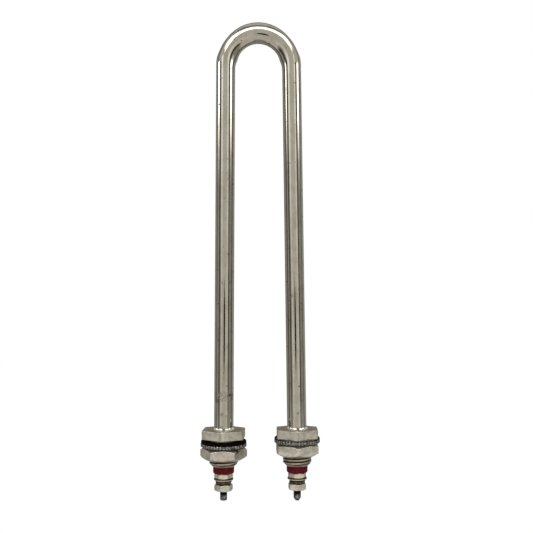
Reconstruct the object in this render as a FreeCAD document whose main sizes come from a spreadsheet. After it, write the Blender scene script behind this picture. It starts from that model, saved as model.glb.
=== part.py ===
import FreeCAD, Part
import math
import os
import Sketcher

# A screw-in tubular heating element: a U of steel tube packed with magnesia round a
# resistance coil, with a hexagon fitting brazed on each foot. Millimetres, +Z up along the
# legs, +X from the left leg to the right one. The origin lies midway between the two
# fittings, in the plane of the undersides of their hexagon heads, which is the face that
# the tank wall's gaskets seal on.

document = FreeCAD.newDocument("HeatingElement")
sheet = document.addObject("Spreadsheet::Sheet", "Sizes")

driving_sizes = [
    # The bent tube and what it holds.
    ("leg_spacing", 36.0, "between the two fitting axes"),
    ("sheath_diameter", 9.45, "outside of the steel tube"),
    ("sheath_wall", 0.8, "wall of the steel tube"),
    ("bend_draw_in", 1.5, "half the leg spacing less the bend's radius, on the centre line"),
    ("bend_height", 184.8, "centre of the U bend above the sealing plane"),
    ("bend_offset", -0.96, "sideways shift of the bend, because the right leg leans in more"),
    ("coil_diameter", 4.1, "outside of the resistance coil"),
    ("coil_bore", 2.6, "socket in each end of the coil"),
    ("socket_play", 0.5, "left free above the spigot in its socket"),
    ("coil_start", 22.0, "lower end of the coil above the sealing plane"),
    ("tube_recess", 0.2, "tube's end inside the threaded sleeve's end"),
    ("core_clearance", 0.05, "between the packed magnesia and what it touches"),
    # The two fittings.
    ("head_across_flats", 20.0, "hexagon head"),
    ("head_height", 4.15, "hexagon head"),
    ("thread_diameter", 14.0, "outside of the threaded sleeve"),
    ("sleeve_length", 13.5, "threaded sleeve below the head"),
    ("sleeve_end_wall", 0.6, "wall left at the end of the thread's 45 degree lead"),
    ("braze_gap", 0.15, "between the tube and the bore of its fitting"),
    ("braze_leg", 1.4, "height and reach of the braze fillet"),
    ("braze_hollow", 0.45, "thickness of the hollow fillet halfway up"),
    ("left_head_turn", 22.5, "turn of the left hexagon head, degrees"),
    ("right_head_turn", 26.4, "turn of the right hexagon head, degrees"),
    # What clamps the tank wall.
    ("ring_clearance", 0.1, "between the thread and the rings on it"),
    ("gasket_width", 4.0, "rubber gaskets, from bore to rim"),
    ("left_gasket_thickness", 1.15, "left gasket, not squeezed"),
    ("right_gasket_thickness", 0.6, "right gasket, squeezed flat"),
    ("left_gasket_drop", 1.1, "left free above the loose left gasket, which lies on its washer"),
    ("right_gasket_drop", 0.0, "left free above the right gasket"),
    ("gasket_edge", 0.2, "bevel of the gaskets' rims"),
    ("lock_washer_width", 4.15, "ribbed lock washers, from bore to rim"),
    ("lock_washer_thickness", 1.75, "over the ribs"),
    ("rib_count", 44.0, "ribs on each face of a lock washer"),
    ("rib_length", 2.6, "from the washer's rim inwards"),
    ("rib_gap", 0.9, "width of the groove between two ribs"),
    ("rib_depth", 0.45, "depth of the groove between two ribs"),
    ("lock_nut_across_flats", 20.0, "large hexagon nut"),
    ("lock_nut_height", 6.3, "large hexagon nut"),
    ("lock_nut_top_radius", 8.6, "flat ring left by the upper chamfer"),
    ("lock_nut_bottom_radius", 8.6, "flat ring left by the lower chamfer"),
    ("lock_nut_chamfer", 30.0, "slope of both chamfers, degrees"),
    ("left_lock_nut_turn", -3.7, "turn of the left lock nut, degrees"),
    ("right_lock_nut_turn", 29.5, "turn of the right lock nut, degrees"),
    # The electrical ends.
    ("seal_diameter", 10.3, "silicone end seal"),
    ("seal_height", 3.4, "collar of the end seal below the sleeve"),
    ("seal_plug_depth", 3.0, "plug of the end seal inside the tube"),
    ("seal_plug_gap", 0.2, "between the plug and the wall of the tube"),
    ("seal_edge", 0.3, "bevel of the seal's lower rim"),
    ("stud_diameter", 4.1, "outside of the terminal thread"),
    ("pin_diameter", 2.8, "pin inside the tube"),
    ("pin_spigot_diameter", 2.4, "end of the pin that the coil is wound on"),
    ("pin_spigot_length", 6.0, "end of the pin that the coil is wound on"),
    ("terminal_clearance", 0.1, "between the terminal thread and what is on it"),
    ("terminal_across_flats", 8.0, "both small hexagon nuts"),
    ("terminal_nut_edge", 0.45, "depth of the small nuts' corner chamfers"),
    ("base_nut_height", 2.5, "thin nut against the seal"),
    ("flat_washer_diameter", 9.5, "terminal washer"),
    ("flat_washer_thickness", 0.85, "terminal washer"),
    ("spring_washer_section", 1.1, "thickness of the split spring washer"),
    ("spring_washer_width", 1.75, "radial width of the split spring washer"),
    ("spring_washer_rise", 0.95, "step between the spring washer's two ends"),
    ("spring_washer_turn", 0.96, "share of a full turn that the spring washer covers"),
    ("terminal_nut_height", 3.0, "outer nut"),
    ("left_end_diameter", 3.5, "reduced end of the left stud, below the outer nut"),
    ("left_end_length", 4.75, "reduced end of the left stud"),
    ("left_tip_radius", 1.3, "flat end of the left stud"),
    ("left_tip_length", 0.35, "chamfer of the left stud"),
    ("right_end_diameter", 3.7, "reduced end of the right stud, below the outer nut"),
    ("right_end_length", 5.3, "reduced end of the right stud"),
    ("right_tip_radius", 0.9, "flat end of the right stud"),
    ("right_tip_length", 1.4, "taper of the right stud"),
    ("left_base_nut_turn", -5.0, "turn of the left base nut, degrees"),
    ("right_base_nut_turn", 11.0, "turn of the right base nut, degrees"),
    ("left_terminal_nut_turn", 11.0, "turn of the left terminal nut, degrees"),
    ("right_terminal_nut_turn", 34.0, "turn of the right terminal nut, degrees"),
    ("left_spring_washer_turn", 35.0, "where the left spring washer is split, degrees"),
    ("right_spring_washer_turn", 150.0, "where the right spring washer is split, degrees"),
]
for row, (alias, value, note) in enumerate(driving_sizes, start=1):
    sheet.set(f"A{row}", alias.replace("_", " "))
    sheet.set(f"B{row}", str(value))
    sheet.set(f"C{row}", note)
    sheet.setAlias(f"B{row}", alias)
document.recompute()

bodies = []


def size(expression):
    """The present value of an expression of the sheet's sizes."""
    return float(sheet.evalExpression(expression.replace("Sizes.", "")))


def new_body(name, x="0", z="0", turn="0"):
    """An empty body whose own origin stands at x, z and is turned about Z."""
    body = document.addObject("PartDesign::Body", name)
    body.Label = name
    body.setExpression(
        "Placement", f"placement(vector({x}; 0; {z}); rotation(vector(0; 0; 1); {turn}))"
    )
    bodies.append(body)
    return body


def origin_feature(body, role):
    """One of a body's own origin planes or axes."""
    return next(f for f in body.Origin.OriginFeatures if f.Role == role)


def new_sketch(body, name, plane, lift=None):
    """An empty sketch on one of the body's origin planes, lifted along its normal."""
    sketch = body.newObject("Sketcher::SketchObject", name)
    sketch.AttachmentSupport = (origin_feature(body, plane), [""])
    sketch.MapMode = "FlatFace"
    if lift:
        sketch.setExpression("AttachmentOffset.Base.z", lift)
    return sketch


def bind(sketch, constraint, first_label, expression):
    """Adds one dimension to a sketch and ties it to an expression."""
    index = sketch.addConstraint(constraint)
    sketch.renameConstraint(index, first_label)
    sketch.setExpression(f"Constraints.{first_label}", expression)


def add_outline(sketch, corners):
    """Adds a closed outline of straight sides. Each corner is held by two expressions."""
    places = [FreeCAD.Vector(size(across), size(up), 0) for across, up in corners]
    first = sketch.GeometryCount
    for start, end in zip(places, places[1:] + places[:1]):
        sketch.addGeometry(Part.LineSegment(start, end), False)
    for number, place in enumerate(places):
        line = first + number
        following = first + (number + 1) % len(places)
        sketch.addConstraint(Sketcher.Constraint("Coincident", line, 2, following, 1))
        across, up = corners[number]
        bind(sketch, Sketcher.Constraint("DistanceX", -1, 1, line, 1, place.x),
             f"across{line}", across)
        bind(sketch, Sketcher.Constraint("DistanceY", -1, 1, line, 1, place.y),
             f"up{line}", up)


def add_circle(sketch, diameter, across="0"):
    """Adds a circle on the sketch's horizontal axis."""
    circle = sketch.GeometryCount
    centre = FreeCAD.Vector(size(across), 0, 0)
    normal = FreeCAD.Vector(0, 0, 1)
    sketch.addGeometry(Part.Circle(centre, normal, size(diameter) / 2), False)
    sketch.addConstraint(Sketcher.Constraint("PointOnObject", circle, 3, -1))
    bind(sketch, Sketcher.Constraint("DistanceX", -1, 1, circle, 3, centre.x),
         f"across{circle}", across)
    bind(sketch, Sketcher.Constraint("Diameter", circle, size(diameter)),
         f"diameter{circle}", diameter)


def hexagon_corners(across_flats):
    """The six corners of a hexagon with two flats square to Y."""
    return [
        (f"{across_flats} / sqrt(3) * cos({60 * corner})",
         f"{across_flats} / sqrt(3) * sin({60 * corner})")
        for corner in range(6)
    ]


def turned(body, name, corners):
    """A solid of revolution about Z from an outline of radius and height."""
    sketch = new_sketch(body, f"{name}_outline", "XZ_Plane")
    add_outline(sketch, corners)
    revolution = body.newObject("PartDesign::Revolution", name)
    revolution.Profile = sketch
    revolution.ReferenceAxis = (sketch, ["V_Axis"])
    revolution.Angle = 360
    body.Tip = revolution
    return revolution


def turned_away(body, name, corners):
    """A groove turned about Z from an outline of radius and height."""
    sketch = new_sketch(body, f"{name}_outline", "XZ_Plane")
    add_outline(sketch, corners)
    groove = body.newObject("PartDesign::Groove", name)
    groove.Profile = sketch
    groove.ReferenceAxis = (sketch, ["V_Axis"])
    groove.Angle = 360
    body.Tip = groove
    return groove


def hexagon_pad(body, name, across_flats, height, bore):
    """A hexagonal block with a round bore, standing on the body's XY plane."""
    sketch = new_sketch(body, f"{name}_outline", "XY_Plane")
    add_outline(sketch, hexagon_corners(across_flats))
    add_circle(sketch, bore)
    pad = body.newObject("PartDesign::Pad", name)
    pad.Profile = sketch
    pad.setExpression("Length", height)
    body.Tip = pad
    return pad


def below(*thicknesses):
    """The height of a face that lies under a stack of pieces below the sealing plane."""
    return "-(" + " + ".join(thicknesses) + ")"


def add_bent_path(sketch, start_height):
    """The centre line of the bent tube: leg, bend and leg. Each leg passes through the middle
    of its upright fitting and runs tangent into the bend, so it leans a little."""
    half = size("Sizes.leg_spacing / 2")
    seat = "(Sizes.head_height - Sizes.sleeve_length) / 2"
    bend_radius = "Sizes.leg_spacing / 2 - Sizes.bend_draw_in"
    radius = size(bend_radius)
    centre = FreeCAD.Vector(size("Sizes.bend_offset"), size("Sizes.bend_height"), 0)
    leans = []
    feet = []
    for side in (-1, 1):
        across = half - side * centre.x
        rise = centre.y - size(seat)
        lean = math.atan2(across, rise) - math.asin(radius / math.hypot(across, rise))
        shift = (size(start_height) - size(seat)) * math.tan(lean)
        leans.append(lean)
        feet.append(FreeCAD.Vector(side * (half - shift), size(start_height), 0))
    circle = Part.Circle(centre, FreeCAD.Vector(0, 0, 1), radius)
    bend = Part.ArcOfCircle(circle, leans[1], math.pi - leans[0])
    sketch.addGeometry(Part.LineSegment(feet[0], bend.EndPoint), False)
    sketch.addGeometry(bend, False)
    sketch.addGeometry(Part.LineSegment(bend.StartPoint, feet[1]), False)
    sketch.addGeometry(Part.Point(FreeCAD.Vector(-half, size(seat), 0)), True)
    sketch.addGeometry(Part.Point(FreeCAD.Vector(half, size(seat), 0)), True)
    sketch.addConstraint(Sketcher.Constraint("Tangent", 0, 2, 1, 2))
    sketch.addConstraint(Sketcher.Constraint("Tangent", 1, 1, 2, 1))
    sketch.addConstraint(Sketcher.Constraint("PointOnObject", 3, 1, 0))
    sketch.addConstraint(Sketcher.Constraint("PointOnObject", 4, 1, 2))
    held_points = [
        ("bend", 1, 3, "Sizes.bend_offset", "Sizes.bend_height"),
        ("left_seat", 3, 1, "-Sizes.leg_spacing / 2", seat),
        ("right_seat", 4, 1, "Sizes.leg_spacing / 2", seat),
    ]
    for label, curve, point, across, up in held_points:
        bind(sketch, Sketcher.Constraint("DistanceX", -1, 1, curve, point, size(across)),
             f"{label}_across", across)
        bind(sketch, Sketcher.Constraint("DistanceY", -1, 1, curve, point, size(up)),
             f"{label}_up", up)
    for label, curve, point in (("left_start", 0, 1), ("right_start", 2, 2)):
        bind(sketch, Sketcher.Constraint("DistanceY", -1, 1, curve, point, size(start_height)),
             label, start_height)
    bind(sketch, Sketcher.Constraint("Radius", 1, radius), "radius", bend_radius)


def bent_bar(body, name, outside, start_height, inside=None):
    """A round bar or tube swept along the bent centre line from one foot to the other."""
    path = new_sketch(body, f"{name}_path", "XZ_Plane")
    add_bent_path(path, start_height)
    document.recompute()
    ring = body.newObject("Sketcher::SketchObject", f"{name}_ring")
    ring.AttachmentSupport = (path, ["Edge1"])
    ring.MapMode = "NormalToEdge"
    add_circle(ring, outside)
    if inside:
        add_circle(ring, inside)
    pipe = body.newObject("PartDesign::AdditivePipe", name)
    pipe.Profile = ring
    pipe.Spine = (path, [])
    body.Tip = pipe
    return pipe


# The sheath: one length of steel tube, bent round a die. Its two open ends reach down
# almost to the ends of the threaded sleeves.
sheath = new_body("sheath_tube")
sheath_bore = "(Sizes.sheath_diameter - 2 * Sizes.sheath_wall)"
sleeve_end = below("Sizes.sleeve_length")
tube_end = f"({sleeve_end} + Sizes.tube_recess)"
bent_bar(sheath, "sheath_sweep", "Sizes.sheath_diameter", tube_end, sheath_bore)

# The magnesia powder, packed hard between the sheath and the coil. It stops short of the
# tube's ends, where the seals plug it.
core = new_body("magnesia_core")
core_start = f"({sleeve_end} + Sizes.seal_plug_depth + Sizes.seal_plug_gap)"
bent_bar(core, "core_sweep", f"{sheath_bore} - 2 * Sizes.core_clearance", core_start,
         "Sizes.coil_diameter + 2 * Sizes.core_clearance")

# The resistance coil, as the rod that its close turns and the powder inside them fill. It
# starts where the cold terminal pins end, and has a socket at each end for the pin's spigot.
coil = new_body("resistance_coil")
bent_bar(coil, "coil_sweep", "Sizes.coil_diameter", "Sizes.coil_start")
document.recompute()
socket_sketch = new_sketch(coil, "coil_socket_outline", "XY_Plane",
                           "Sizes.coil_start + Sizes.pin_spigot_length + Sizes.socket_play")
add_circle(socket_sketch, "Sizes.coil_bore", "-Sizes.leg_spacing / 2")
add_circle(socket_sketch, "Sizes.coil_bore", "Sizes.leg_spacing / 2")
coil_sockets = coil.newObject("PartDesign::Pocket", "coil_sockets")
coil_sockets.Profile = socket_sketch
coil_sockets.setExpression("Length", "2 * (Sizes.pin_spigot_length + Sizes.socket_play)")
coil.Tip = coil_sockets

for side, sign in (("left", "-"), ("right", "")):
    axis = f"{sign}Sizes.leg_spacing / 2"

    # The fitting: a hexagon head and its threaded sleeve, turned from one bar and bored for
    # the tube. The thread's outside is left plain.
    fitting = new_body(f"{side}_fitting", axis, "0", f"Sizes.{side}_head_turn")
    fitting_bore = "Sizes.sheath_diameter + 2 * Sizes.braze_gap"
    head = hexagon_pad(fitting, f"{side}_head", "Sizes.head_across_flats", "Sizes.head_height",
                       fitting_bore)
    thread_radius = "Sizes.thread_diameter / 2"
    lead_radius = f"(({fitting_bore}) / 2 + Sizes.sleeve_end_wall)"
    lead_start = f"{sleeve_end} + {thread_radius} - {lead_radius}"
    turned(fitting, f"{side}_sleeve", [
        (f"({fitting_bore}) / 2", "0"),
        (f"({fitting_bore}) / 2", sleeve_end),
        (lead_radius, sleeve_end),
        (thread_radius, lead_start),
        (thread_radius, "0"),
    ])

    # The braze: a ring of filler drawn into the corner between the tube and the head.
    braze = new_body(f"{side}_braze_fillet", axis, "Sizes.head_height")
    braze_inner = f"(({fitting_bore}) / 2)"
    turned(braze, f"{side}_braze_ring", [
        (braze_inner, "0"),
        (f"{braze_inner} + Sizes.braze_leg", "0"),
        (f"{braze_inner} + Sizes.braze_hollow", "Sizes.braze_hollow"),
        (braze_inner, "Sizes.braze_leg"),
    ])

    # The rubber gasket under the head. The lock nut squeezes the right one. The left nut is
    # not run up, so its gasket lies loose on the washer, a little below the head.
    gasket_thickness = f"Sizes.{side}_gasket_thickness"
    gasket_drop = f"Sizes.{side}_gasket_drop"
    gasket_bottom = below(gasket_drop, gasket_thickness)
    gasket = new_body(f"{side}_gasket", axis, gasket_bottom)
    ring_bore_radius = f"({thread_radius} + Sizes.ring_clearance)"
    gasket_radius = f"{ring_bore_radius} + Sizes.gasket_width"
    turned(gasket, f"{side}_gasket_ring", [
        (ring_bore_radius, "0"),
        (f"{gasket_radius} - Sizes.gasket_edge", "0"),
        (gasket_radius, "Sizes.gasket_edge"),
        (gasket_radius, f"{gasket_thickness} - Sizes.gasket_edge"),
        (f"{gasket_radius} - Sizes.gasket_edge", gasket_thickness),
        (ring_bore_radius, gasket_thickness),
    ])

    # The lock washer: a hard steel ring with radial ribs pressed into both faces.
    lock_washer_bottom = below(gasket_drop, gasket_thickness, "Sizes.lock_washer_thickness")
    lock_washer = new_body(f"{side}_lock_washer", axis, lock_washer_bottom)
    washer_radius = f"({ring_bore_radius} + Sizes.lock_washer_width)"
    turned(lock_washer, f"{side}_lock_washer_ring", [
        (ring_bore_radius, "0"),
        (washer_radius, "0"),
        (washer_radius, "Sizes.lock_washer_thickness"),
        (ring_bore_radius, "Sizes.lock_washer_thickness"),
    ])
    notch_sketch = new_sketch(lock_washer, f"{side}_rib_gap_outline", "YZ_Plane",
                              f"Sizes.rib_length - {washer_radius}")
    add_outline(notch_sketch, [
        ("-Sizes.rib_gap / 2", "Sizes.lock_washer_thickness"),
        ("0", "Sizes.lock_washer_thickness - Sizes.rib_depth"),
        ("Sizes.rib_gap / 2", "Sizes.lock_washer_thickness"),
    ])
    add_outline(notch_sketch, [
        ("-Sizes.rib_gap / 2", "0"),
        ("Sizes.rib_gap / 2", "0"),
        ("0", "Sizes.rib_depth"),
    ])
    notch = lock_washer.newObject("PartDesign::Pocket", f"{side}_rib_gap")
    notch.Profile = notch_sketch
    notch.setExpression("Length", washer_radius)
    lock_washer.Tip = notch
    document.recompute()
    ribs = lock_washer.newObject("PartDesign::PolarPattern", f"{side}_ribs")
    ribs.Originals = [notch]
    ribs.Axis = (origin_feature(lock_washer, "Z_Axis"), [""])
    ribs.Angle = 360
    ribs.setExpression("Occurrences", "Sizes.rib_count")
    lock_washer.Tip = ribs

    # The lock nut: large hexagon, chamfered on both faces.
    lock_nut_bottom = below(gasket_drop, gasket_thickness, "Sizes.lock_washer_thickness",
                            "Sizes.lock_nut_height")
    lock_nut = new_body(f"{side}_lock_nut", axis, lock_nut_bottom,
                        f"Sizes.{side}_lock_nut_turn")
    hexagon_pad(lock_nut, f"{side}_lock_nut_block", "Sizes.lock_nut_across_flats",
                "Sizes.lock_nut_height", f"2 * {ring_bore_radius}")
    nut_reach = "Sizes.lock_nut_across_flats"
    nut_slope = "tan(Sizes.lock_nut_chamfer)"
    upper_drop = f"({nut_reach} - Sizes.lock_nut_top_radius) * {nut_slope}"
    lower_drop = f"({nut_reach} - Sizes.lock_nut_bottom_radius) * {nut_slope}"
    turned_away(lock_nut, f"{side}_lock_nut_upper_chamfer", [
        ("Sizes.lock_nut_top_radius", "Sizes.lock_nut_height"),
        (nut_reach, "Sizes.lock_nut_height"),
        (nut_reach, f"Sizes.lock_nut_height - {upper_drop}"),
    ])
    turned_away(lock_nut, f"{side}_lock_nut_lower_chamfer", [
        ("Sizes.lock_nut_bottom_radius", "0"),
        (nut_reach, "0"),
        (nut_reach, lower_drop),
    ])

    # The end seal: a dark red silicone bush whose plug closes the open end of the tube.
    seal_bottom = below("Sizes.sleeve_length", "Sizes.seal_height")
    seal = new_body(f"{side}_end_seal", axis, seal_bottom)
    seal_radius = "Sizes.seal_diameter / 2"
    pin_bore_radius = "(Sizes.pin_diameter / 2 + Sizes.core_clearance)"
    plug_radius = f"({sheath_bore} / 2 - Sizes.seal_plug_gap)"
    seal_top = "Sizes.seal_height + Sizes.seal_plug_depth"
    turned(seal, f"{side}_seal_bush", [
        (pin_bore_radius, "0"),
        (f"{seal_radius} - Sizes.seal_edge", "0"),
        (seal_radius, "Sizes.seal_edge"),
        (seal_radius, "Sizes.seal_height"),
        (plug_radius, "Sizes.seal_height"),
        (plug_radius, seal_top),
        (pin_bore_radius, seal_top),
    ])

    # The terminal pin: a threaded stud outside the seal with a slightly thinner free end, a
    # plain cold pin inside the tube and a thin spigot at its top that the coil is wound on.
    stack = ["Sizes.sleeve_length", "Sizes.seal_height", "Sizes.base_nut_height"]
    base_nut_bottom = below(*stack)
    stack.append("Sizes.flat_washer_thickness")
    flat_washer_bottom = below(*stack)
    stack.append("Sizes.spring_washer_section + Sizes.spring_washer_rise")
    spring_washer_bottom = below(*stack)
    stack.append("Sizes.terminal_nut_height")
    terminal_nut_bottom = below(*stack)
    stack.append(f"Sizes.{side}_end_length")
    stud_tip = below(*stack)
    pin = new_body(f"{side}_terminal_pin", axis)
    spigot_top = "Sizes.coil_start + Sizes.pin_spigot_length"
    turned(pin, f"{side}_pin_bar", [
        ("0", stud_tip),
        (f"Sizes.{side}_tip_radius", stud_tip),
        (f"Sizes.{side}_end_diameter / 2", f"{stud_tip} + Sizes.{side}_tip_length"),
        (f"Sizes.{side}_end_diameter / 2", terminal_nut_bottom),
        ("Sizes.stud_diameter / 2", terminal_nut_bottom),
        ("Sizes.stud_diameter / 2", seal_bottom),
        ("Sizes.pin_diameter / 2", seal_bottom),
        ("Sizes.pin_diameter / 2", "Sizes.coil_start - Sizes.core_clearance"),
        ("Sizes.pin_spigot_diameter / 2", "Sizes.coil_start - Sizes.core_clearance"),
        ("Sizes.pin_spigot_diameter / 2", spigot_top),
        ("0", spigot_top),
    ])

    # The two small nuts and, between them, the washers that would grip a wire's eyelet.
    stud_bore = "(Sizes.stud_diameter + 2 * Sizes.terminal_clearance)"
    for piece, nut_bottom, nut_height in (
        ("base_nut", base_nut_bottom, "Sizes.base_nut_height"),
        ("terminal_nut", terminal_nut_bottom, "Sizes.terminal_nut_height"),
    ):
        nut = new_body(f"{side}_{piece}", axis, nut_bottom, f"Sizes.{side}_{piece}_turn")
        hexagon_pad(nut, f"{side}_{piece}_block", "Sizes.terminal_across_flats", nut_height,
                    stud_bore)
        rim_radius = "Sizes.terminal_across_flats / sqrt(3)"
        face_radius = f"{rim_radius} - Sizes.terminal_nut_edge / tan(30)"
        turned_away(nut, f"{side}_{piece}_upper_chamfer", [
            (face_radius, nut_height),
            (f"{rim_radius} + Sizes.terminal_nut_edge / tan(30)", nut_height),
            (f"{rim_radius} + Sizes.terminal_nut_edge / tan(30)",
             f"{nut_height} - 2 * Sizes.terminal_nut_edge"),
        ])
        turned_away(nut, f"{side}_{piece}_lower_chamfer", [
            (face_radius, "0"),
            (f"{rim_radius} + Sizes.terminal_nut_edge / tan(30)", "0"),
            (f"{rim_radius} + Sizes.terminal_nut_edge / tan(30)",
             "2 * Sizes.terminal_nut_edge"),
        ])

    flat_washer = new_body(f"{side}_flat_washer", axis, flat_washer_bottom)
    turned(flat_washer, f"{side}_flat_washer_ring", [
        (f"{stud_bore} / 2", "0"),
        ("Sizes.flat_washer_diameter / 2", "0"),
        ("Sizes.flat_washer_diameter / 2", "Sizes.flat_washer_thickness"),
        (f"{stud_bore} / 2", "Sizes.flat_washer_thickness"),
    ])

    # The spring washer: one turn of square wire, split, with its ends a step apart.
    spring_washer = new_body(f"{side}_spring_washer", axis, spring_washer_bottom,
                             f"Sizes.{side}_spring_washer_turn")
    wire_sketch = new_sketch(spring_washer, f"{side}_spring_wire_outline", "XZ_Plane")
    wire_inner = f"{stud_bore} / 2"
    wire_outer = f"{stud_bore} / 2 + Sizes.spring_washer_width"
    add_outline(wire_sketch, [
        (wire_inner, "0"),
        (wire_outer, "0"),
        (wire_outer, "Sizes.spring_washer_section"),
        (wire_inner, "Sizes.spring_washer_section"),
    ])
    spring_turn = spring_washer.newObject("PartDesign::AdditiveHelix", f"{side}_spring_turn")
    spring_turn.Profile = wire_sketch
    spring_turn.ReferenceAxis = (wire_sketch, ["V_Axis"])
    spring_turn.Mode = "height-turns-angle"
    spring_turn.setExpression("Height", "Sizes.spring_washer_rise")
    spring_turn.setExpression("Turns", "Sizes.spring_washer_turn")
    spring_washer.Tip = spring_turn

document.recompute()

for item in document.Objects:
    if "Invalid" in item.State or "Error" in item.State:
        raise RuntimeError(f"{item.Label} failed: {item.State}")
for body in bodies:
    if body.Shape.isNull() or not body.Shape.isValid():
        raise RuntimeError(f"{body.Label} has no valid shape")

os.makedirs("parts", exist_ok=True)
for body in bodies:
    body.Shape.exportStep(os.path.join("parts", f"{body.Label}.step"))
    print(f"{body.Label}: {len(body.Shape.Solids)} solid, {body.Shape.Volume:.1f} mm3")
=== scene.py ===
import math

import bmesh
import bpy
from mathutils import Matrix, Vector, noise


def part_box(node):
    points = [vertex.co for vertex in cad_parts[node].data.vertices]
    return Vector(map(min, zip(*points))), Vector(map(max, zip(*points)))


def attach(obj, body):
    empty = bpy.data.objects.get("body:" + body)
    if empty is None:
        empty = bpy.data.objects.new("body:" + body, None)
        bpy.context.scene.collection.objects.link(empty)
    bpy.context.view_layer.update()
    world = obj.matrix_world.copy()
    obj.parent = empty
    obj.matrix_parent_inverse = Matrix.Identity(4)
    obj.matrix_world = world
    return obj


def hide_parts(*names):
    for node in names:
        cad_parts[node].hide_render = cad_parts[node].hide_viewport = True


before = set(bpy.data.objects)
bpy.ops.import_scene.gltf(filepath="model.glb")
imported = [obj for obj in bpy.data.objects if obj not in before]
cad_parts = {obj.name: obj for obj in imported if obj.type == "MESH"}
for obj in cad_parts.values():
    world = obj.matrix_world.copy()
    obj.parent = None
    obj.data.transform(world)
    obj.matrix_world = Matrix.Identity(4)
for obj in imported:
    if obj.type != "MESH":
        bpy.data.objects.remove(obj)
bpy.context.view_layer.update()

# The camera stands a little above the fittings, straight in front of the left leg, and looks
# slightly up and to the right, as the photograph was taken.
camera_place = Vector((-0.0186, -0.3738, 0.0675))
camera_lens = 51.12
camera_tilt = math.radians(92.5)
camera_turn = math.radians(-3.3)

camera_data = bpy.data.cameras.new("camera")
camera_data.lens = camera_lens
camera = bpy.data.objects.new("camera", camera_data)
camera.location = camera_place
camera.rotation_euler = (camera_tilt, 0, camera_turn)
bpy.context.scene.collection.objects.link(camera)
bpy.context.scene.camera = camera

# The sheath is one length of polished steel tube, bent to a U round a die that pressed it
# wider on the inside, drew its shoulders in and left fine wrinkles. The legs lean in.
mm = 0.001
tube_radius = 4.725 * mm
tube_wall = 0.8 * mm
bend_radius = 16.5 * mm
bend_shift = -0.96 * mm
bend_crown_growth = 0.3 * mm
bend_shoulder_loss = 0.52 * mm
bend_inward_growth = 0.95 * mm
bend_squeeze = 0.3 * mm
press_rise = 0.25
crown_start = 0.33
crown_rise = 0.17
shoulder_start = 0.03
shoulder_rise = 0.10
shoulder_end = 0.20
shoulder_fall = 0.19
inward_start = -0.05
inward_rise = 0.13
bend_ripple = 0.024 * mm
ripples_per_metre = 420
ripple_turn = 1.5
wrinkle_depth = 0.05 * mm
wrinkle_pitch = 1.1 * mm
wrinkle_reach = 1.8 * mm
fold_depth = 0.035 * mm
fold_width = 0.12
fold_angles = (0.72, 1.10)
points_round_tube = 96
stations_on_leg = 90
leg_crowding = 0.55
stations_on_bend = 280
sharp_edge = math.radians(50)


def skin(name, rings, joined):
    """A piece from a run of closed rings with as many points each. A point's fourth number
    says how worn it is, and below 0 how darkened: dirt on some pieces, painted shade on others.
    The run closes on itself, or its two ends are capped."""
    around = len(rings[0])
    mesh = bpy.data.meshes.new(name)
    faces = []
    for number in range(len(rings) if joined else len(rings) - 1):
        here = number * around
        there = (number + 1) % len(rings) * around
        for step in range(around):
            after = (step + 1) % around
            faces.append((here + step, here + after, there + after, there + step))
    if not joined:
        faces.append(tuple(range(around)))
        faces.append(tuple(range((len(rings) - 1) * around, len(rings) * around)))
    points = [point for ring in rings for point in ring]
    mesh.from_pydata([point[:3] for point in points], [], faces)
    worn = mesh.attributes.new("wear_dirt_and_shade", "FLOAT", "POINT")
    worn.data.foreach_set("value", [point[3] for point in points])
    shell = bmesh.new()
    shell.from_mesh(mesh)
    bmesh.ops.recalc_face_normals(shell, faces=shell.faces)
    shell.to_mesh(mesh)
    shell.free()
    mesh.polygons.foreach_set("use_smooth", [True] * len(mesh.polygons))
    mesh.set_sharp_from_angle(angle=sharp_edge)
    piece = bpy.data.objects.new(name, mesh)
    bpy.context.scene.collection.objects.link(piece)
    return piece


def fit(piece, node, material):
    """The piece stands for a solid of the frame, with its finish."""
    piece.data.materials.append(material)
    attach(piece, "root")
    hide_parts(node)


def ease(share):
    """0 to 1 with a soft start and end."""
    share = min(max(share, 0.0), 1.0)
    return share * share * (3 - 2 * share)


sheath_low, sheath_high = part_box("sheath_tube")
bend_centre = Vector((bend_shift, 0, sheath_high.z - bend_radius - tube_radius))
leg_leans = {}
leg_feet = {}
for side, sign in (("left", -1), ("right", 1)):
    fitting_low, fitting_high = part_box(f"{side}_fitting")
    seat = (fitting_low + fitting_high) / 2
    across = sign * (seat.x - bend_centre.x)
    rise = bend_centre.z - seat.z
    lean = math.atan2(across, rise) - math.asin(bend_radius / math.hypot(across, rise))
    foot_drop = sheath_low.z - seat.z
    leg_leans[side] = lean
    leg_feet[side] = Vector((seat.x - sign * foot_drop * math.tan(lean), 0, sheath_low.z))


def tube_stations(leg_count, bend_count):
    """The centre line from foot to foot: each place, its outward direction and how far it
    is round the bend, as a share."""
    stations = []
    start = math.pi - leg_leans["left"]
    end = leg_leans["right"]
    for step in range(bend_count + 1):
        share = step / bend_count
        angle = start + (end - start) * share
        outward = Vector((math.cos(angle), 0, math.sin(angle)))
        stations.append((bend_centre + bend_radius * outward, outward, share))
    bend_length = math.pi * bend_radius
    for side in ("left", "right"):
        top, outward, share = stations[0] if side == "left" else stations[-1]
        leg = []
        for step in range(leg_count):
            spot = leg_feet[side].lerp(top, (step / leg_count) ** leg_crowding)
            below = (top - spot).length / bend_length
            leg.append((spot, outward, -below if side == "left" else 1 + below))
        stations = leg + stations if side == "left" else stations + leg[::-1]
    return stations


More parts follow.
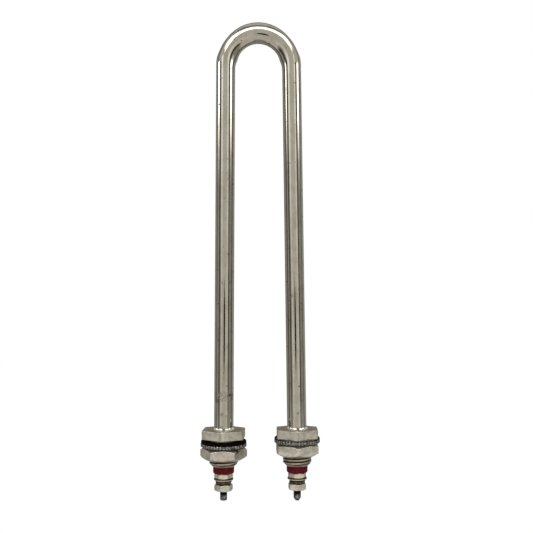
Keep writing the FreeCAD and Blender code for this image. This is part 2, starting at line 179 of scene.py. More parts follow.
def tube_ring(station, radius):
    """One ring of the tube, with the bend's flattening, ripple, wrinkles and long folds. Where
    each of them starts and how fast it comes in are shares of the bend, from the nearer leg."""
    place, outward, share = station
    from_leg = min(share, 1 - share)
    pressed = ease(from_leg / press_rise)
    outward_growth = bend_crown_growth * ease((from_leg - crown_start) / crown_rise)
    shoulder = ease((from_leg - shoulder_start) / shoulder_rise)
    shoulder *= 1 - ease((from_leg - shoulder_end) / shoulder_fall)
    outward_growth -= bend_shoulder_loss * shoulder
    inward_growth = bend_inward_growth * ease((from_leg - inward_start) / inward_rise)
    along = (share - 0.5) * math.pi * (bend_radius - tube_radius)
    wrinkle = math.cos(2 * math.pi * along / wrinkle_pitch) * math.exp(-(along / wrinkle_reach) ** 2)
    ring = []
    for step in range(points_round_tube):
        angle = 2 * math.pi * step / points_round_tube
        out = math.cos(angle)
        growth = outward_growth if out > 0 else inward_growth
        reach = radius + growth * out * out
        reach += wrinkle_depth * wrinkle * pressed * max(-out, 0) ** 3
        for fold_angle in fold_angles:
            from_fold = (abs(math.pi - angle) - fold_angle) / fold_width
            reach -= fold_depth * pressed * math.exp(-from_fold ** 2)
        ripple = noise.noise(place * ripples_per_metre + Vector((0, angle * ripple_turn, 0)))
        reach += bend_ripple * pressed * ripple
        depth = radius - bend_squeeze * pressed
        point = place + outward * reach * out
        point.y += depth * math.sin(angle)
        ring.append((*point, 0.0))
    return ring


outer_rings = [
    tube_ring(station, tube_radius)
    for station in tube_stations(stations_on_leg, stations_on_bend)
]
inner_rings = [
    tube_ring(station, tube_radius - tube_wall)
    for station in tube_stations(stations_on_leg // 2, stations_on_bend // 4)
]
bent_tube = skin("bent_tube", outer_rings + inner_rings[::-1], True)


def new_finish(name):
    """An empty material and the shader that gives it its look."""
    material = bpy.data.materials.new(name)
    material.use_nodes = True
    material.node_tree.nodes.clear()
    shader = material.node_tree.nodes.new("ShaderNodeBsdfPrincipled")
    output = material.node_tree.nodes.new("ShaderNodeOutputMaterial")
    material.node_tree.links.new(shader.outputs["BSDF"], output.inputs["Surface"])
    return material, shader


def add_node(tree, kind, settings=(), **sockets):
    """A node with its settings, and its sockets set or linked by name."""
    node = tree.nodes.new(kind)
    for name, value in dict(settings).items():
        setattr(node, name, value)
    for name, value in sockets.items():
        socket = node.inputs[name.replace("_", " ")]
        if isinstance(value, bpy.types.NodeSocket):
            tree.links.new(value, socket)
        else:
            socket.default_value = value
    return node


def surface_place(tree, stretch=(1, 1, 1)):
    """The place on the piece in metres, stretched along each axis."""
    here = add_node(tree, "ShaderNodeTexCoord").outputs["Object"]
    return add_node(tree, "ShaderNodeMapping", Vector=here, Scale=stretch).outputs["Vector"]


def speckle(tree, place, count, detail=4, roughness=0.55):
    """Noise with about so many spots to the metre."""
    spots = add_node(
        tree, "ShaderNodeTexNoise", Vector=place, Scale=count, Detail=detail, Roughness=roughness
    )
    return spots.outputs["Fac"]


def between(tree, value, low, high, to_low=0.0, to_high=1.0):
    """A value that goes from one number to another while the given one goes from low to high."""
    node = add_node(tree, "ShaderNodeMapRange", Value=value)
    for name, number in (("From Min", low), ("From Max", high), ("To Min", to_low), ("To Max", to_high)):
        node.inputs[name].default_value = number
    return node.outputs["Result"]


def combine(tree, operation, first, second):
    """Two numbers put together by one sum."""
    node = tree.nodes.new("ShaderNodeMath")
    node.operation = operation
    for socket, value in zip(node.inputs, (first, second)):
        if isinstance(value, bpy.types.NodeSocket):
            tree.links.new(value, socket)
        else:
            socket.default_value = value
    return node.outputs["Value"]


def tint(tree, share, first, second):
    """One colour turning into another."""
    node = tree.nodes.new("ShaderNodeMix")
    node.data_type = "RGBA"
    for socket, value in ((node.inputs[0], share), (node.inputs[6], first), (node.inputs[7], second)):
        if isinstance(value, bpy.types.NodeSocket):
            tree.links.new(value, socket)
        else:
            socket.default_value = value
    return node.outputs[2]


def spot_share(tree, place, spot, inner, outer, share):
    """A share within an inner distance of a spot, falling to 0 at an outer one."""
    away = add_node(tree, "ShaderNodeVectorMath", {"operation": "DISTANCE"}, Vector=place)
    away.inputs[1].default_value = spot
    return between(tree, away.outputs["Value"], inner, outer, share, 0.0)


def raise_surface(tree, shader, height, distance):
    """Fine relief on the shader's surface, distance in metres."""
    bump = add_node(tree, "ShaderNodeBump", Strength=1.0, Distance=distance, Height=height)
    tree.links.new(bump.outputs["Normal"], shader.inputs["Normal"])


# The polished steel is a warm grey mirror with faint clouds and mottles, fine lines along it
# from drawing, small dark pits and spots, and a dull scratched ring low on the left leg.
sheath_colour = (0.376, 0.349, 0.289, 1)
sheath_stain = (0.30, 0.268, 0.205, 1)
scuff_colour = (0.20, 0.182, 0.14, 1)
scratch_colour = (0.62, 0.60, 0.54, 1)
pit_colour = (0.05, 0.042, 0.03, 1)
# Each spot has its middle, the reach of its core and of its edge, and how dark it is.
sheath_spots = (
    ((-19.0 * mm, -4.6 * mm, 12.0 * mm), 0.2 * mm, 0.9 * mm, 0.6),
    ((18.0 * mm, -4.7 * mm, 12.3 * mm), 0.2 * mm, 0.9 * mm, 0.6),
    ((-15.2 * mm, -3.8 * mm, 21.2 * mm), 0.3 * mm, 1.0 * mm, 0.9),
    ((-21.2 * mm, -3.4 * mm, 18.6 * mm), 0.5 * mm, 1.7 * mm, 0.5),
)
sheath_clouds_per_metre = 95
cloud_range = (0.45, 0.7)
cloud_share = 0.55
mottle_stretch = (520, 520, 240)
mottle_range = (0.42, 0.66)
mottle_share = 0.6
sheath_pits_per_metre = 620
pit_range = (0.665, 0.72)
pit_share = 0.8
line_stretch = (3800, 3800, 45)
line_range = (0.3, 0.7)
line_relief_share = 0.25
sheath_roughness = (0.055, 0.095)
pit_dullness = 0.3
scuff_dullness = 0.3
scuffs_per_metre = 900
scuffed_range = (0.42, 0.60)
scuff_share = 0.9
scratch_stretch = (700, 700, 2400)
scratch_range = (0.60, 0.66)
scratch_share = 0.7
scuff_low = 18.7 * mm
scuff_high = 23.0 * mm
scuff_low_edge = 0.6 * mm
scuff_high_edge = 1.0 * mm
scuff_ragged = 1.6 * mm
ragged_per_metre = 500
sheath_relief = 0.012 * mm

sheath_steel, shader = new_finish("sheath_steel")
tree = sheath_steel.node_tree
place = surface_place(tree)
clouds = between(tree, speckle(tree, place, sheath_clouds_per_metre, detail=6), *cloud_range)
lines = speckle(tree, surface_place(tree, line_stretch), 1.0, detail=3)
pits = between(tree, speckle(tree, place, sheath_pits_per_metre, detail=2), *pit_range)
height_here = add_node(tree, "ShaderNodeSeparateXYZ", Vector=place)
ragged = combine(tree, "MULTIPLY", speckle(tree, place, ragged_per_metre), scuff_ragged)
ragged_height = combine(tree, "ADD", height_here.outputs["Z"], ragged)
scuff_up = between(tree, ragged_height, scuff_low, scuff_low + scuff_low_edge)
scuff_down = between(tree, ragged_height, scuff_high, scuff_high + scuff_high_edge, 1.0, 0.0)
left_only = between(tree, height_here.outputs["X"], -mm, mm, 1.0, 0.0)
scuff_ring = combine(tree, "MULTIPLY", combine(tree, "MULTIPLY", scuff_up, scuff_down), left_only)
scuffed = speckle(tree, place, scuffs_per_metre, detail=3, roughness=0.7)
scuffed = between(tree, scuffed, *scuffed_range)
scuff = combine(tree, "MULTIPLY", scuff_ring, scuffed)
mottles = speckle(tree, surface_place(tree, mottle_stretch), 1.0, detail=3)
mottles = combine(tree, "MULTIPLY", between(tree, mottles, *mottle_range), mottle_share)
stain = combine(tree, "ADD", combine(tree, "MULTIPLY", clouds, cloud_share), mottles)
colour = tint(tree, stain, sheath_colour, sheath_stain)
colour = tint(tree, combine(tree, "MULTIPLY", scuff, scuff_share), colour, scuff_colour)
scratches = speckle(tree, surface_place(tree, scratch_stretch), 1.0, detail=2)
scratches = combine(tree, "MULTIPLY", between(tree, scratches, *scratch_range), scuff_ring)
colour = tint(tree, combine(tree, "MULTIPLY", scratches, scratch_share), colour, scratch_colour)
dark = combine(tree, "MULTIPLY", pits, pit_share)
for spot, inner, outer, share in sheath_spots:
    dark = combine(tree, "MAXIMUM", dark, spot_share(tree, place, spot, inner, outer, share))
colour = tint(tree, dark, colour, pit_colour)
tree.links.new(colour, shader.inputs["Base Color"])
shader.inputs["Metallic"].default_value = 1.0
rough = between(tree, lines, *line_range, *sheath_roughness)
rough = combine(tree, "ADD", rough, combine(tree, "MULTIPLY", scuff, scuff_dullness))
rough = combine(tree, "ADD", rough, combine(tree, "MULTIPLY", pits, pit_dullness))
tree.links.new(rough, shader.inputs["Roughness"])
relief = combine(tree, "SUBTRACT", combine(tree, "MULTIPLY", lines, line_relief_share), pits)
relief = combine(tree, "SUBTRACT", relief, scuff)
raise_surface(tree, shader, relief, sheath_relief)
fit(bent_tube, "sheath_tube", sheath_steel)

# Inside the tube, unseen: packed white magnesia powder round the resistance coil, which joins
# the two cold pins. Both keep the frame's solids.
magnesia_white = (0.86, 0.85, 0.80, 1)
magnesia_grey = (0.70, 0.68, 0.62, 1)
grains_per_metre = 4500
grain_relief = 0.05 * mm
wire_dark = (0.12, 0.11, 0.10, 1)
wire_bright = (0.50, 0.48, 0.44, 1)
coil_wave_scale = 480.0
coil_relief = 0.2 * mm

magnesia, shader = new_finish("magnesia")
tree = magnesia.node_tree
grains = speckle(tree, surface_place(tree), grains_per_metre, detail=3)
tree.links.new(tint(tree, grains, magnesia_white, magnesia_grey), shader.inputs["Base Color"])
shader.inputs["Roughness"].default_value = 0.95
raise_surface(tree, shader, grains, grain_relief)

resistance_wire, shader = new_finish("resistance_wire")
tree = resistance_wire.node_tree
wave = add_node(
    tree, "ShaderNodeTexWave", {"bands_direction": "Z"}, Vector=surface_place(tree),
    Scale=coil_wave_scale,
)
coil_turns = wave.outputs["Fac"]
tree.links.new(tint(tree, coil_turns, wire_dark, wire_bright), shader.inputs["Base Color"])
shader.inputs["Metallic"].default_value = 1.0
shader.inputs["Roughness"].default_value = 0.45
raise_surface(tree, shader, coil_turns, coil_relief)

for node, material in (("magnesia_core", magnesia), ("resistance_coil", resistance_wire)):
    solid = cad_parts[node]
    solid.data.materials.clear()
    solid.data.materials.append(material)

# Each fitting is turned from one hexagon bar: a plain head, and below it a sleeve with an
# M14 x 1.5 thread and a 45 degree lead. Plated a dull, warm grey, and brown in the thread.
thread_pitch = 1.5 * mm
thread_depth = 0.85 * mm
thread_radius = 7.0 * mm
sleeve_end_wall = 0.6 * mm
fitting_bore = 4.875 * mm
head_flat_radius = 10 * mm
head_turns = {"left": math.radians(22.5), "right": math.radians(26.4)}
head_softness = 0.10 * mm
chamfer_slope = math.tan(math.radians(30))
edge_softness = 0.14 * mm
hexagon_sharpness = 70
corner_offsets = [-1.6, -0.8, 0.0, 0.8, 1.6]
flat_span = 56.8
steps_on_flat = 16
steps_per_pitch = 12
thread_crest = 0.42
thread_flank = 0.46
crest_dirt = 0.42
groove_dirt = 0.58
lead_dirt = 0.3
head_corner_painted_dark = 0.36
head_corner_width = 5.0
corner_width = 1.6
corner_fade = 0.6
most_softened = 0.4
metal_grains_per_metre = 5200
metal_pits_per_metre = 1300
metal_wear_per_metre = 700
metal_pit_share = 0.75
pit_edge = 0.05
pit_darkness = 0.3
metal_wear_range = (0.35, 0.6)
metal_wear_share = 0.6
wear_brightness = 1.35
wear_polish = 0.08
darkening_range = (-0.9, -0.1)
most_darkening = 0.98
grain_range = (0.3, 0.7)
grain_roughness = (-0.05, 0.06)
grain_relief_share = 0.6


def soften(corners, reach):
    """A closed section with every corner rounded over a short reach, and worn there."""
    softened = []
    for number, corner in enumerate(corners):
        before = corners[number - 1] - corner
        after = corners[(number + 1) % len(corners)] - corner
        before *= min(reach / before.length, most_softened)
        after *= min(reach / after.length, most_softened)
        softened.append((*(corner + before), 0.0))
        softened.append((*(corner + (before + after) / 4), 1.0))
        softened.append((*(corner + after), 0.0))
    return softened


def hexagon_radius(flat_radius, azimuth):
    """How far a hexagon with slightly rounded corners reaches. It has a corner at 0."""
    total = 0.0
    for flat in range(6):
        facing = math.cos(azimuth - math.radians(30 + 60 * flat))
        total += max(facing, 0.0) ** hexagon_sharpness
    return flat_radius * total ** (-1 / hexagon_sharpness)


def hexagon_azimuths():
    """Directions round a hexagon, closer together at its corners."""
    offsets = corner_offsets + [
        corner_offsets[-1] + flat_span * step / steps_on_flat for step in range(1, steps_on_flat)
    ]
    return [math.radians(60 * corner + offset) for corner in range(6) for offset in offsets]


def even_azimuths(count):
    """Directions spaced evenly all round."""
    return [2 * math.pi * step / count for step in range(count)]


def turned(name, axis, azimuths, section, turn=0.0):
    """A piece whose closed section, of radius, height and edge tone, is taken round its axis. Edge tone
    above 0 is wear; below 0 it darkens, with dirt in places and painted shade in others.
    """
    rings = []
    for azimuth in azimuths:
        cosine = math.cos(azimuth + turn)
        sine = math.sin(azimuth + turn)
        rings.append([
            (axis + radius * cosine, radius * sine, height, edge_tone)
            for radius, height, edge_tone in section(azimuth)
        ])
    return skin(name, rings, True)


def thread_cut(azimuth, height, pitch):
    """How deep a right-hand thread is cut here, as a share, 0 on its crest."""
    turn = (height / pitch - azimuth / (2 * math.pi)) % 1.0
    return ease((abs(turn - 0.5) * 2 - thread_crest) / thread_flank)


def corner_closeness(azimuth, width):
    """1 on a hexagon's upright edges, 0 so many degrees beside them."""
    from_corner = abs((math.degrees(azimuth) + 30) % 60 - 30)
    return ease((width - from_corner) / (corner_fade * width))


def fitting_section(azimuth, top, bottom, turn):
    """Down the bore, up the thread, then round the head."""
    section = [(fitting_bore, top, 0.0), (fitting_bore, bottom, 0.0)]
    steps = round(-bottom / thread_pitch * steps_per_pitch)
    for step in range(steps + 1):
        height = bottom * (1 - step / steps)
        lead = fitting_bore + sleeve_end_wall + height - bottom
        cut = thread_cut(azimuth + turn, height, thread_pitch)
        reach = thread_radius - thread_depth * cut
        darkening = -crest_dirt - groove_dirt * cut if reach < lead else -lead_dirt
        section.append((max(min(reach, lead), fitting_bore), height, darkening))
    reach = hexagon_radius(head_flat_radius, azimuth)
    # The head's upright corners are darkened towards the grime colour: a painted dark reflection.
    edge_tone = -head_corner_painted_dark * corner_closeness(azimuth, head_corner_width)
    for height, inwards in ((0.0, head_softness), (top, -head_softness)):
        edge = [(reach - head_softness, height, 0.0), (reach, height + inwards, 1.0)]
        edge.append((reach, height + 2 * inwards, edge_tone))
        section += edge if inwards > 0 else edge[::-1]
    return section


def metal_finish(
    name, clean, stained, roughness, stains_per_metre, relief_depth, pitted=0.74,
    stain_range=(0.40, 0.66), grime_and_shade=(0.092, 0.056, 0.014, 1), spots=(),
):
    """Plated or bare metal with cloudy stains, fine grain, pits and brighter worn edges. Where the
    edge tone is below 0 the metal is darkened towards the grime colour: dirt in places, painted
    shade and painted reflection in others. It may have dark nicks and smudges at given spots."""
    material, shader = new_finish(name)
    tree = material.node_tree
    place = surface_place(tree)
    stain = speckle(tree, place, stains_per_metre, detail=6, roughness=0.65)
    stain = between(tree, stain, *stain_range)
    grain = speckle(tree, place, metal_grains_per_metre, detail=3)
    pits = speckle(tree, place, metal_pits_per_metre, detail=3)
    pits = between(tree, pits, pitted, pitted + pit_edge)
    colour = tint(tree, stain, clean, stained)
    dark = tuple(channel * pit_darkness for channel in stained[:3]) + (1,)
    colour = tint(tree, combine(tree, "MULTIPLY", pits, metal_pit_share), colour, dark)
    edges = add_node(tree, "ShaderNodeAttribute", {"attribute_name": "wear_dirt_and_shade"}).outputs["Fac"]
    bright = tuple(min(channel * wear_brightness, 1.0) for channel in clean[:3]) + (1,)
    worn = combine(tree, "MAXIMUM", edges, 0.0)
    patchy = between(tree, speckle(tree, place, metal_wear_per_metre), *metal_wear_range)
    worn = combine(tree, "MULTIPLY", worn, patchy)
    colour = tint(tree, combine(tree, "MULTIPLY", worn, metal_wear_share), colour, bright)
    # Below 0 the edge tone darkens the metal: dirt in the threads, painted shade, shadow and reflection
    # elsewhere.
    darkening = between(tree, edges, *darkening_range, most_darkening, 0.0)
    for spot, inner, outer, share in spots:
        darkening = combine(tree, "MAXIMUM", darkening, spot_share(tree, place, spot, inner, outer, share))
    colour = tint(tree, darkening, colour, grime_and_shade)
    tree.links.new(colour, shader.inputs["Base Color"])
    shader.inputs["Metallic"].default_value = 1.0
    rough = combine(tree, "ADD", roughness, between(tree, grain, *grain_range, *grain_roughness))
    rough = combine(tree, "SUBTRACT", rough, combine(tree, "MULTIPLY", worn, wear_polish))
    tree.links.new(rough, shader.inputs["Roughness"])
    relief = combine(tree, "SUBTRACT", combine(tree, "MULTIPLY", grain, grain_relief_share), pits)
    raise_surface(tree, shader, relief, relief_depth)
    return material


# The left lock nut has a nick near a corner and a film on its front flat, and the left head has
# a smudge on its right face.
plated_spots = (
    ((-11.4 * mm, -8.1 * mm, -5.2 * mm), 0.8 * mm, 1.3 * mm, 0.95),
    ((-18.0 * mm, -9.8 * mm, -8.5 * mm), 5.5 * mm, 7.5 * mm, 0.16),
    ((-12.5 * mm, -9.0 * mm, 2.0 * mm), 3.5 * mm, 6.5 * mm, 0.24),
)
plated_steel = metal_finish(
    "plated_steel",
    clean=(0.60, 0.557, 0.458, 1),
    stained=(0.37, 0.341, 0.276, 1),
    roughness=0.40,
    stains_per_metre=420,
    relief_depth=0.03 * mm,
    spots=plated_spots,
)

for side, turn in head_turns.items():
    low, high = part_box(f"{side}_fitting")
    axis = (low.x + high.x) / 2
    fitting = turned(
        f"{side}_threaded_fitting", axis, hexagon_azimuths(),
        lambda azimuth: fitting_section(azimuth, high.z, low.z, turn), turn,
    )
    fit(fitting, f"{side}_fitting", plated_steel)

# The braze is a ring of bright filler that ran round the foot of the tube and set in a hollow
# fillet, a little uneven from side to side.
braze_points = 7
points_round_ring = 96
braze_play = 0.02 * mm
braze_unevenness = 0.18
braze_waviness = 2
front_notch_and_shade_width = 11
front_notch_depth = 0.5


def braze_section(azimuth, bottom, height, reach, seed):
    """The hollow corner between tube and head, with a notch at the front, darkened there by dirt and
    painted shade.
    """
    here = Vector((math.cos(azimuth), math.sin(azimuth), seed))
    from_front = (math.degrees(azimuth) + 180) % 360 - 90
    front = math.exp(-(from_front / front_notch_and_shade_width) ** 2)
    spread = 1 - braze_unevenness * (0.5 + 0.5 * noise.noise(here * braze_waviness))
    spread *= 1 - front_notch_depth * front
    # The front is darkened towards the grime colour: a brown dirt patch, and painted shade that breaks
    # the fillet's highlight there.
    section = [(fitting_bore + braze_play, bottom, -front)]
    for step in range(braze_points + 1):
        angle = math.pi / 2 * step / braze_points
        out = fitting_bore + braze_play + reach * spread * (1 - math.sin(angle))
        up = bottom + height * spread * (1 - math.cos(angle))
        section.append((out, up, -front))
    return section


braze_metal = metal_finish(
    "braze_metal",
    clean=(0.86, 0.84, 0.77, 1),
    stained=(0.52, 0.48, 0.39, 1),
    roughness=0.16,
    stains_per_metre=500,
    relief_depth=0.03 * mm,
    grime_and_shade=(0.085, 0.070, 0.045, 1),
)

for side, seed in (("left", 1.0), ("right", 5.0)):
    low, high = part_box(f"{side}_braze_fillet")
    axis = (low.x + high.x) / 2
    reach = (high.x - low.x) / 2 - fitting_bore - braze_play
    fillet = turned(
        f"{side}_braze_ring", axis, even_azimuths(points_round_ring),
        lambda azimuth: braze_section(azimuth, low.z, high.z - low.z, reach, seed),
    )
    fit(fillet, f"{side}_braze_fillet", braze_metal)

# The gaskets are rings of black rubber. The left one lies loose on its washer, below the head,
# and the right one is squeezed thin and has grey dust in front.
gasket_bore = 7.1 * mm
gasket_softness = 0.45
points_round_gasket = 120
rubber_black = (0.0018, 0.0016, 0.0013, 1)
rubber_worn = (0.010, 0.009, 0.007, 1)
dust_grey = (0.115, 0.108, 0.088, 1)
dust_front = -9.5 * mm
dust_back = -6.5 * mm
dust_per_metre = 1100
dust_range = (0.38, 0.56)
least_dust = 0.25
rubbed_per_metre = 900
rubbed_range = (0.52, 0.75)
rubber_roughness = (0.6, 0.85)
rubber_gloss = 0.02
rubber_grains_per_metre = 3500
rubber_relief = 0.04 * mm


def flat_ring_section(inner, outer, bottom, top, softness):
    """A rectangular section with softened corners."""
    corners = [(inner, bottom), (outer, bottom), (outer, top), (inner, top)]
    return soften([Vector(corner) for corner in corners], softness)


black_rubber, shader = new_finish("black_rubber")
tree = black_rubber.node_tree
place = surface_place(tree)
rubbed = speckle(tree, place, rubbed_per_metre, detail=5, roughness=0.7)
rubbed = between(tree, rubbed, *rubbed_range)
colour = tint(tree, rubbed, rubber_black, rubber_worn)
here = add_node(tree, "ShaderNodeSeparateXYZ", Vector=place)
on_right = between(tree, here.outputs["X"], -mm, mm)
in_front = between(tree, here.outputs["Y"], dust_front, dust_back, 1.0, 0.0)
dust = speckle(tree, place, dust_per_metre, detail=3, roughness=0.6)
dust = between(tree, dust, *dust_range, least_dust, 1.0)
dust = combine(tree, "MULTIPLY", dust, combine(tree, "MULTIPLY", on_right, in_front))
colour = tint(tree, dust, colour, dust_grey)
tree.links.new(colour, shader.inputs["Base Color"])
tree.links.new(between(tree, rubbed, 0, 1, *rubber_roughness), shader.inputs["Roughness"])
shader.inputs["Specular IOR Level"].default_value = rubber_gloss
raise_surface(tree, shader, speckle(tree, place, rubber_grains_per_metre), rubber_relief)

for side in ("left", "right"):
    low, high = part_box(f"{side}_gasket")
    axis = (low.x + high.x) / 2
    rim = (high.x - low.x) / 2
    softness = gasket_softness * (high.z - low.z)
    section = flat_ring_section(gasket_bore, rim, low.z, high.z, softness)
    gasket = turned(
        f"{side}_rubber_gasket", axis, even_azimuths(points_round_gasket), lambda azimuth: section
    )
    fit(gasket, f"{side}_gasket", black_rubber)

# Each lock washer is a hard steel ring with radial ribs pressed into both faces, which bite
# into the wall and the nut. It is dark, rough, and bright where the ribs have rubbed.
ribs_per_face = 44
rib_depth = 0.45 * mm
rib_length = 2.6 * mm
rib_sharpness = 0.8
rib_evenness = 0.8
rib_unevenness = 0.5
rib_waviness = 14
rib_slope = 0.4 * mm
rib_chamfer = 0.12 * mm
rim_inset = 0.08 * mm
rim_roughness = 0.12 * mm
rim_waviness = 30
rim_dip = 0.25
steps_per_rib = 8


def lock_washer_section(azimuth, inner, outer, bottom, top, seed):
    """Flat near the bore, then ribbed out to the rim on both faces."""
    here = Vector((math.cos(azimuth), math.sin(azimuth), seed))
    groove = (0.5 - 0.5 * math.cos(ribs_per_face * azimuth)) ** rib_sharpness
    groove *= rib_depth * (rib_evenness + rib_unevenness * noise.noise(here * rib_waviness))
    ribbed = outer - rib_length
    rim = outer - rim_inset + rim_roughness * noise.noise(here * rim_waviness) - rim_dip * groove
    crest = 1 - groove / rib_depth
    return [
        (inner, top, 0.0),
        (inner, bottom, 0.0),
        (ribbed, bottom, 0.0),
        (ribbed + rib_slope, bottom + groove, crest),
        (rim - rib_chamfer, bottom + groove, crest),
        (rim, bottom + groove + rib_chamfer, crest),
        (rim, top - groove - rib_chamfer, crest),
        (rim - rib_chamfer, top - groove, crest),
        (ribbed + rib_slope, top - groove, crest),
        (ribbed, top, 0.0),
    ]


washer_steel = metal_finish(
    "washer_steel",
    clean=(0.25, 0.240, 0.206, 1),
    stained=(0.034, 0.030, 0.023, 1),
    roughness=0.30,
    stains_per_metre=1000,
    relief_depth=0.16 * mm,
    pitted=0.64,
    stain_range=(0.43, 0.53),
)

for side, seed in (("left", 2.0), ("right", 7.0)):
    low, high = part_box(f"{side}_lock_washer")
    axis = (low.x + high.x) / 2
    rim = (high.x - low.x) / 2
    washer = turned(
        f"{side}_ribbed_washer", axis, even_azimuths(ribs_per_face * steps_per_rib),
        lambda azimuth: lock_washer_section(azimuth, gasket_bore, rim, low.z, high.z, seed),
    )
    fit(washer, f"{side}_lock_washer", washer_steel)

# The lock nuts are large hexagon nuts for the sleeve's thread, chamfered at 30 degrees on both
# faces, so that each flat is bounded by a shallow curve. Plated like the fittings.
lock_nut_flat_radius = 10 * mm
lock_nut_face_radius = 8.6 * mm
lock_nut_turns = {"left": math.radians(-3.7), "right": math.radians(29.5)}
face_inset = 0.1 * mm
least_chamfer = 0.06 * mm
nut_corner_wear = 0.2
nut_edge_wear = 0.5


def nut_section(azimuth, flat_radius, bore, bottom, top, face_radius):
    """One side of a chamfered nut: bore, lower face, lower chamfer, flat, upper chamfer."""
    reach = hexagon_radius(flat_radius, azimuth)
    chamfer = max(max(reach - face_radius, 0.0) * chamfer_slope, least_chamfer)
    face = min(face_radius, reach - face_inset)
    corners = [
        Vector((bore, bottom)),
        Vector((face, bottom)),
        Vector((reach, bottom + chamfer)),
        Vector((reach, top - chamfer)),
        Vector((face, top)),
        Vector((bore, top)),
    ]
    edge_tone = nut_corner_wear * corner_closeness(azimuth, corner_width)
    section = soften(corners, edge_softness)
    return [(radius, height, max(nut_edge_wear * worn, edge_tone)) for radius, height, worn in section]


for side, turn in lock_nut_turns.items():
    low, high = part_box(f"{side}_lock_nut")
    axis = (low.x + high.x) / 2
    nut = turned(
        f"{side}_large_nut", axis, hexagon_azimuths(),
        lambda azimuth: nut_section(
            azimuth, lock_nut_flat_radius, gasket_bore, low.z, high.z, lock_nut_face_radius
        ),
        turn,
    )
    fit(nut, f"{side}_lock_nut", plated_steel)

# The end seals are moulded bushes of dark red silicone: a collar under the sleeve, rounded at
# its lower rim, and a plug that closes the end of the tube round the pin.
seal_collar = 3.4 * mm
seal_plug_radius = 3.725 * mm
seal_bore = 1.45 * mm
seal_rim_inset = 0.3 * mm
seal_rim_height = 0.5 * mm
seal_softness = 0.35 * mm
seal_red = (0.094, 0.0050, 0.0085, 1)
seal_bloom = (0.135, 0.022, 0.028, 1)
bloom_per_metre = 260
bloom_range = (0.50, 0.72)
seal_roughness = (0.45, 0.62)
seal_gloss = 0.04
seal_grains_per_metre = 1800
seal_relief = 0.03 * mm

red_silicone, shader = new_finish("red_silicone")
tree = red_silicone.node_tree
place = surface_place(tree)
bloom = speckle(tree, place, bloom_per_metre, detail=4, roughness=0.6)
bloom = between(tree, bloom, *bloom_range)
tree.links.new(tint(tree, bloom, seal_red, seal_bloom), shader.inputs["Base Color"])
tree.links.new(between(tree, bloom, 0, 1, *seal_roughness), shader.inputs["Roughness"])
shader.inputs["Specular IOR Level"].default_value = seal_gloss
raise_surface(tree, shader, speckle(tree, place, seal_grains_per_metre), seal_relief)

for side in ("left", "right"):
    low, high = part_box(f"{side}_end_seal")
    axis = (low.x + high.x) / 2
    rim = (high.x - low.x) / 2
    collar_top = low.z + seal_collar
    section = soften([
        Vector((seal_bore, low.z)),
        Vector((rim - seal_rim_inset, low.z)),
        Vector((rim, low.z + seal_rim_height)),
        Vector((rim, collar_top)),
        Vector((seal_plug_radius, collar_top)),
        Vector((seal_plug_radius, high.z)),
        Vector((seal_bore, high.z)),
    ], seal_softness)
    seal = turned(
        f"{side}_silicone_bush", axis, even_azimuths(points_round_ring), lambda azimuth: section
    )
    fit(seal, f"{side}_end_seal", red_silicone)

# The terminal pins are plated steel rods: a plain cold end inside the tube, a threaded stud
# outside, and a thinner free end, flat on the left and tapered on the right. Just below the
# nuts the free ends carry a painted shadow, in black.
stud_pitch = 0.7 * mm
stud_cut = 0.34 * mm
stud_radius = 2.05 * mm
pin_radius = 1.4 * mm
spigot_radius = 1.2 * mm
spigot_length = 6 * mm
free_ends = {
    "left": {"radius": 1.75 * mm, "tip": 1.3 * mm, "taper": 0.35 * mm, "cut": 0.16 * mm},
    "right": {"radius": 1.85 * mm, "tip": 0.9 * mm, "taper": 1.4 * mm, "cut": 0.20 * mm},
}
points_round_stud = 48
stud_steps_per_pitch = 10
free_end_shadow_reach = 2.9 * mm
free_end_shadow_fade = 1.5 * mm


def pin_rings(axis, tip_height, top, step_height, stud_top, end):
    """Rings from the free tip up through the stud and the cold pin to the spigot."""
    rings = []
    steps = round((stud_top - tip_height) / stud_pitch * stud_steps_per_pitch)
    for step in range(steps + 1):
        height = tip_height + (stud_top - tip_height) * step / steps
        taper = end["tip"] + (end["radius"] - end["tip"]) * min((height - tip_height) / end["taper"], 1)
        free = height < step_height
        ring = []
        for azimuth in even_azimuths(points_round_stud):
            cut = thread_cut(azimuth, height, stud_pitch)
            radius = stud_radius - stud_cut * cut
            darkening = 0.0
            if free:
                radius = min(end["radius"] - end["cut"] * cut, taper)
                # Just below the nut the free end turns black: a painted shadow.
                darkening = -ease((height - step_height + free_end_shadow_reach) / free_end_shadow_fade)
            ring.append((axis + radius * math.cos(azimuth), radius * math.sin(azimuth), height, darkening))
        rings.append(ring)
    for radius, height in (
        (pin_radius, stud_top), (pin_radius, top - spigot_length),
        (spigot_radius, top - spigot_length), (spigot_radius, top),
    ):
        rings.append([
            (axis + radius * math.cos(azimuth), radius * math.sin(azimuth), height, 0.0)
            for azimuth in even_azimuths(points_round_stud)
        ])
    return rings


# Its near-black grime colour is the painted shadow on the free ends.
stud_steel = metal_finish(
    "stud_steel",
    clean=(0.22, 0.205, 0.172, 1),
    stained=(0.042, 0.036, 0.026, 1),
    roughness=0.32,
    stains_per_metre=800,
    relief_depth=0.05 * mm,
    pitted=0.66,
    stain_range=(0.42, 0.60),
    grime_and_shade=(0.004, 0.0035, 0.003, 1),
)

for side, end in free_ends.items():
    low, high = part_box(f"{side}_terminal_pin")
    axis = (low.x + high.x) / 2
    nut_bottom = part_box(f"{side}_terminal_nut")[0].z
    seal_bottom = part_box(f"{side}_end_seal")[0].z
    pin = skin(
        f"{side}_threaded_pin", pin_rings(axis, low.z, high.z, nut_bottom, seal_bottom, end), False
    )
    fit(pin, f"{side}_terminal_pin", stud_steel)

